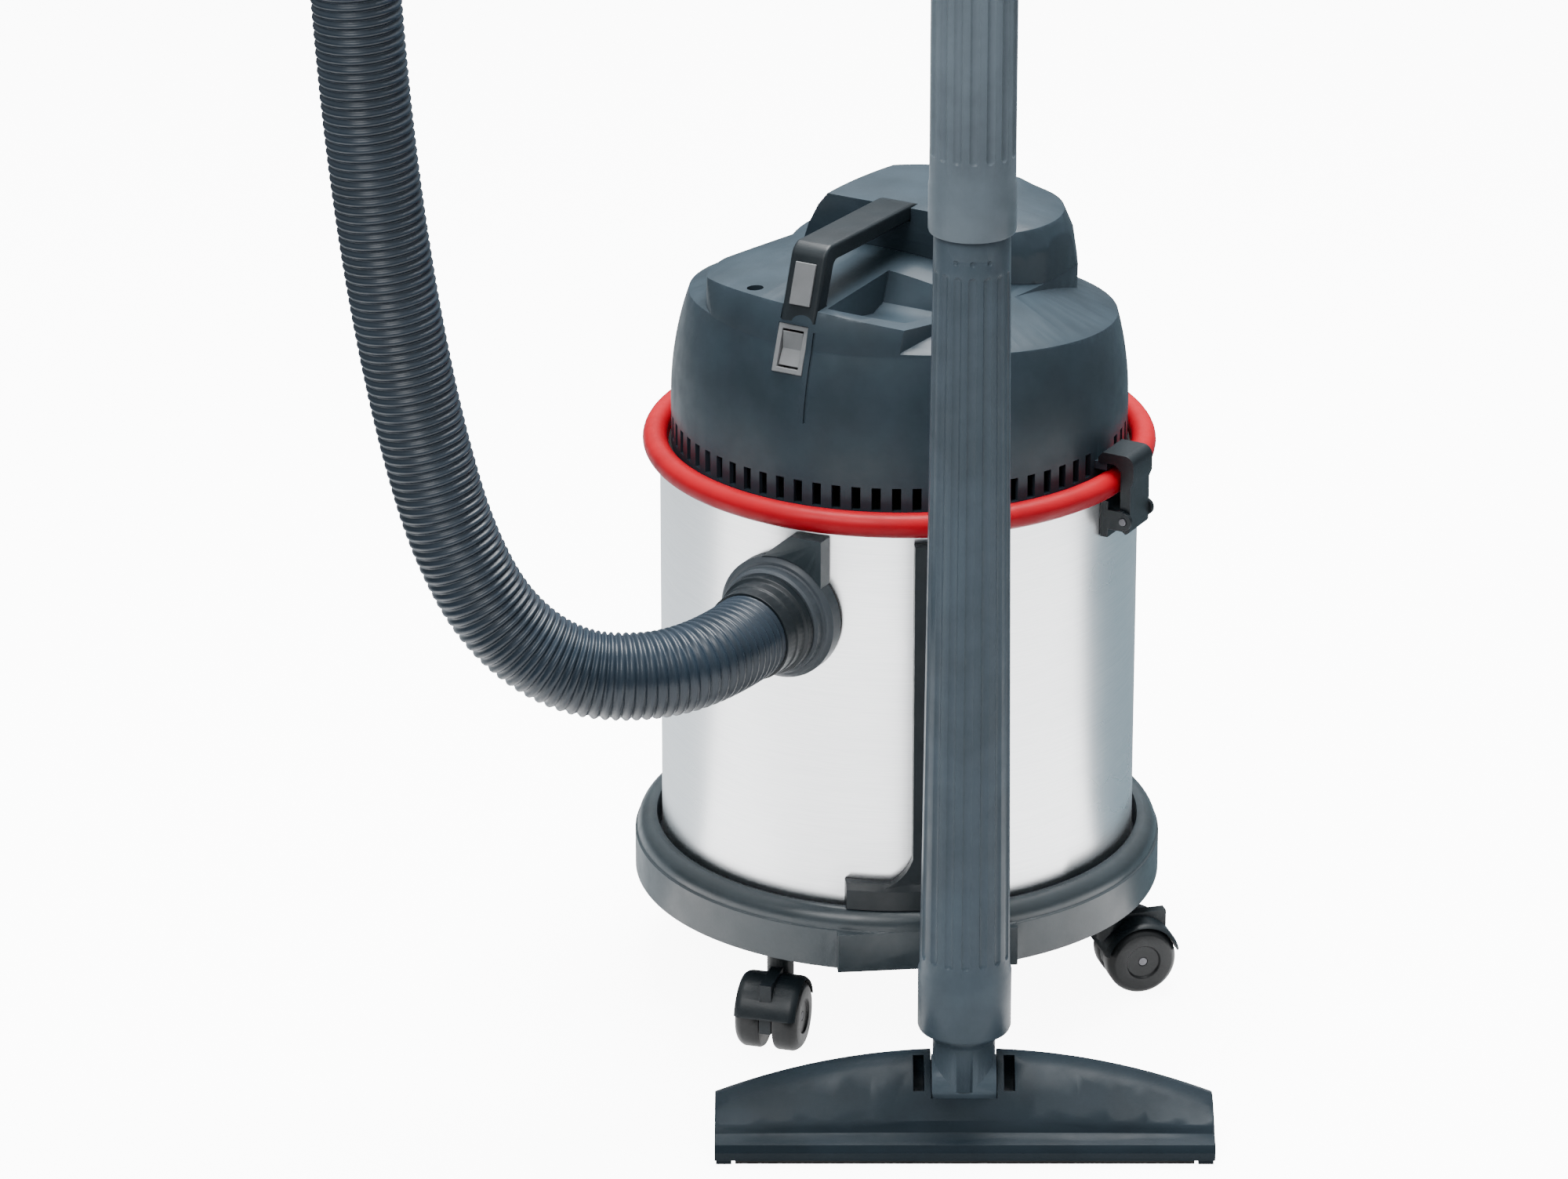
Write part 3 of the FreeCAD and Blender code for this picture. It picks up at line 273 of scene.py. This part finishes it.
def refined(node):
    """The CAD piece with its edges eased and its curved faces shaded smooth."""
    mesh = frame["nodes"][node].data.copy()
    mesh.name = node + "_skin"
    work = bmesh.new()
    work.from_mesh(mesh)
    bmesh.ops.remove_doubles(work, verts=work.verts, dist=WELD_DISTANCE)
    bmesh.ops.dissolve_limit(work, angle_limit=FLAT_ANGLE, verts=work.verts, edges=work.edges)
    work.to_mesh(mesh)
    work.free()
    obj = link(bpy.data.objects.new(node + "_skin", mesh))
    ease = obj.modifiers.new("ease", "BEVEL")
    ease.width = SOFT_EDGES.get(node, EDGE_WIDTH)
    ease.segments = 2
    ease.limit_method = "ANGLE"
    ease.angle_limit = SHARP_ANGLE
    ease.harden_normals = True
    ease.use_clamp_overlap = True
    mesh.shade_smooth()
    mesh.set_sharp_from_angle(angle=SHARP_ANGLE)
    finished(obj, node)


# ---------------------------------------------------------------- hose

HOSE_ROUTE = [
    (-0.10036, -0.18105, 0.309), (-0.121, -0.2183, 0.309), (-0.163, -0.243, 0.306), (-0.215, -0.247, 0.311),
    (-0.259, -0.247, 0.345), (-0.287, -0.246, 0.4), (-0.305, -0.245, 0.468), (-0.319, -0.245, 0.543),
    (-0.33, -0.245, 0.622), (-0.338, -0.245, 0.705), (-0.343, -0.245, 0.79), (-0.3521, -0.2456, 0.8699),
    (-0.3617, -0.2472, 0.9498), (-0.3717, -0.2497, 1.0297), (-0.3821, -0.2528, 1.1095),
    (-0.393, -0.2563, 1.185), (-0.4043, -0.2597, 1.2579), (-0.4178, -0.2637, 1.3485),
    (-0.3899, -0.2672, 1.4345), (-0.3265, -0.2703, 1.4992), (-0.2411, -0.2728, 1.529),
    (-0.1513, -0.2744, 1.5176), (-0.0759, -0.275, 1.4675), (-0.0309, -0.275, 1.3896)]
HOSE_RADIUS = 0.0285
RIB_PITCH = 0.0058
RIB_DEPTH = 0.0021
RINGS_PER_RIB = 8
VALLEY_POWER = 1.4


def centreline(name, points):
    """Points read from the smooth spline that has these control points."""
    curve = bpy.data.curves.new(name, "CURVE")
    curve.dimensions = "3D"
    curve.resolution_u = 24
    spline = curve.splines.new("NURBS")
    spline.points.add(len(points) - 1)
    for point, place in zip(spline.points, points):
        point.co = (*place, 1)
    spline.order_u = 3
    spline.use_endpoint_u = True
    holder = bpy.data.objects.new(name, curve)
    mesh = bpy.data.meshes.new_from_object(holder)
    line = [vertex.co.copy() for vertex in mesh.vertices]
    bpy.data.objects.remove(holder)
    bpy.data.meshes.remove(mesh)
    return line


def walked(line, step):
    """Evenly spaced (point, direction) pairs along a line of points."""
    lengths = [0.0]
    for first, second in zip(line, line[1:]):
        lengths.append(lengths[-1] + (second - first).length)
    count = round(lengths[-1] / step)
    stops = []
    index = 0
    for i in range(count + 1):
        goal = lengths[-1] * i / count
        while index < len(line) - 2 and lengths[index + 1] < goal:
            index += 1
        run = lengths[index + 1] - lengths[index]
        share = (goal - lengths[index]) / run
        stops.append(line[index].lerp(line[index + 1], share))
    ways = []
    for i in range(count + 1):
        ways.append((stops[min(i + 1, count)] - stops[max(i - 1, 0)]).normalized())
    return list(zip(stops, ways)), lengths[-1]


def swept(name, path, radius_at, sides=40):
    """Tube of rings square to a path; radius_at gives each ring's radius from its number."""
    work = bmesh.new()
    across = path[0][1].orthogonal().normalized()
    rings = []
    for number, (place, way) in enumerate(path):
        across = (across - way * across.dot(way)).normalized()
        beside = way.cross(across)
        radius = radius_at(number)
        rings.append([work.verts.new(place + radius * (
            across * math.cos(math.tau * k / sides) + beside * math.sin(math.tau * k / sides)))
            for k in range(sides)])
    for low, high in zip(rings, rings[1:]):
        for k in range(sides):
            work.faces.new((low[k], low[(k + 1) % sides], high[(k + 1) % sides], high[k]))
    for ring in (rings[0][::-1], rings[-1]):
        work.faces.new(ring)
    mesh = bpy.data.meshes.new(name)
    work.to_mesh(mesh)
    work.free()
    return link(bpy.data.objects.new(name, mesh))


def make_hose():
    """Corrugated hose: rounded ribs with narrow valleys, all along a smooth line."""
    line = centreline("hose_line", HOSE_ROUTE)
    path, length = walked(line, RIB_PITCH / RINGS_PER_RIB)

    def radius_at(number):
        phase = math.cos(math.tau * number / RINGS_PER_RIB)
        return HOSE_RADIUS - RIB_DEPTH * (0.5 - 0.5 * phase) ** VALLEY_POWER

    hose = swept("hose_ribbed", path, radius_at)
    hose.data.shade_smooth()
    hose.data.materials.append(MATERIALS["hose_plastic"])
    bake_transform(hose)
    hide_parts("hose")
    print("hose line length", length)


# ---------------------------------------------------------------- pieces

for node_name in SLOT_OF:
    if node_name != "hose":
        refined(node_name)
make_hose()


# ---------------------------------------------------------------- studio

SKY_TOP = 1.5
SKY_HORIZON = 0.07
SKY_TOP_HEIGHT = 0.9
WIDE = (-80, 80)
KEY_POWER = 85
TOP_POWER = 175
FLOOR_GLOW = 9.0


def area_light(name, place, target, size, power):
    data = bpy.data.lights.new(name, "AREA")
    data.shape = "RECTANGLE"
    data.size, data.size_y = size
    data.energy = power
    lamp = link(bpy.data.objects.new(name, data))
    lamp.location = place
    lamp.rotation_euler = (Vector(target) - Vector(place)).to_track_quat("-Z", "Y").to_euler()


def plain(name, shade, glow=0.0):
    """Matt surface for the floor and the reflector cards, with a light of its own if it glows."""
    tree = Tree(name)
    return tree.use(
        Base_Color=tree.blend(tree.noise(2), tinted(shade, 0.97), tinted(shade, 1.03)),
        Roughness=0.9, Specular_IOR_Level=0.1,
        Emission_Color=(1.0, 1.0, 1.0), Emission_Strength=glow)


def sheet(name, x_range, y_range, height, material, seen_by):
    """Level sheet of the studio that only some kinds of ray meet."""
    (left, right), (front, back) = x_range, y_range
    mesh = bpy.data.meshes.new(name)
    corners = [(left, front, height), (right, front, height), (right, back, height), (left, back, height)]
    mesh.from_pydata(corners, [], [(0, 1, 2, 3)])
    mesh.materials.append(material)
    obj = link(bpy.data.objects.new(name, mesh))
    for kind in ("camera", "diffuse", "glossy", "transmission", "shadow"):
        setattr(obj, "visible_" + kind, kind in seen_by)


def sky():
    """Softbox sky: bright overhead, dim at the horizon."""
    world = bpy.data.worlds.new("studio")
    world.use_nodes = True
    nodes, links = world.node_tree.nodes, world.node_tree.links
    direction = nodes.new("ShaderNodeTexCoord")
    parts = nodes.new("ShaderNodeSeparateXYZ")
    rise = nodes.new("ShaderNodeMapRange")
    limits = {"From Min": 0.0, "From Max": SKY_TOP_HEIGHT, "To Min": SKY_HORIZON, "To Max": SKY_TOP}
    for socket, value in limits.items():
        rise.inputs[socket].default_value = value
    links.new(direction.outputs["Generated"], parts.inputs["Vector"])
    links.new(parts.outputs["Z"], rise.inputs["Value"])
    links.new(rise.outputs["Result"], nodes["Background"].inputs["Strength"])
    nodes["Background"].inputs["Color"].default_value = (0.93, 0.97, 1.0, 1)
    bpy.context.scene.world = world


def reflector(name, x_range, y_range, shade, glow=0.0):
    """Card on the floor that only mirrors see."""
    sheet(name, x_range, y_range, 0.0005, plain(name, shade, glow), ("glossy",))


def studio():
    sheet("floor", WIDE, WIDE, -0.0005, plain("floor", (0.9, 0.9, 0.9), FLOOR_GLOW), ("camera",))
    sheet("floor_bounce", WIDE, WIDE, -0.001, plain("floor_bounce", (0.16, 0.17, 0.18)),
          ("diffuse", "glossy", "shadow"))
    reflector("card_front", (-1.6, 1.6), (-2.4, 0.0), (0.9, 0.9, 0.9), 1.0)
    reflector("card_left", (-1.6, -0.2), (0.0, 2.4), (0.40, 0.43, 0.45))
    reflector("card_right", (0.2, 1.6), (0.0, 2.4), (0.09, 0.125, 0.145))
    sky()
    area_light("key", (-1.4, -2.4, 3.2), (0, 0, 0.4), (1.6, 1.6), KEY_POWER)
    area_light("top", (0.1, 0.5, 2.6), (0, 0, 0.4), (1.5, 1.5), TOP_POWER)


studio()
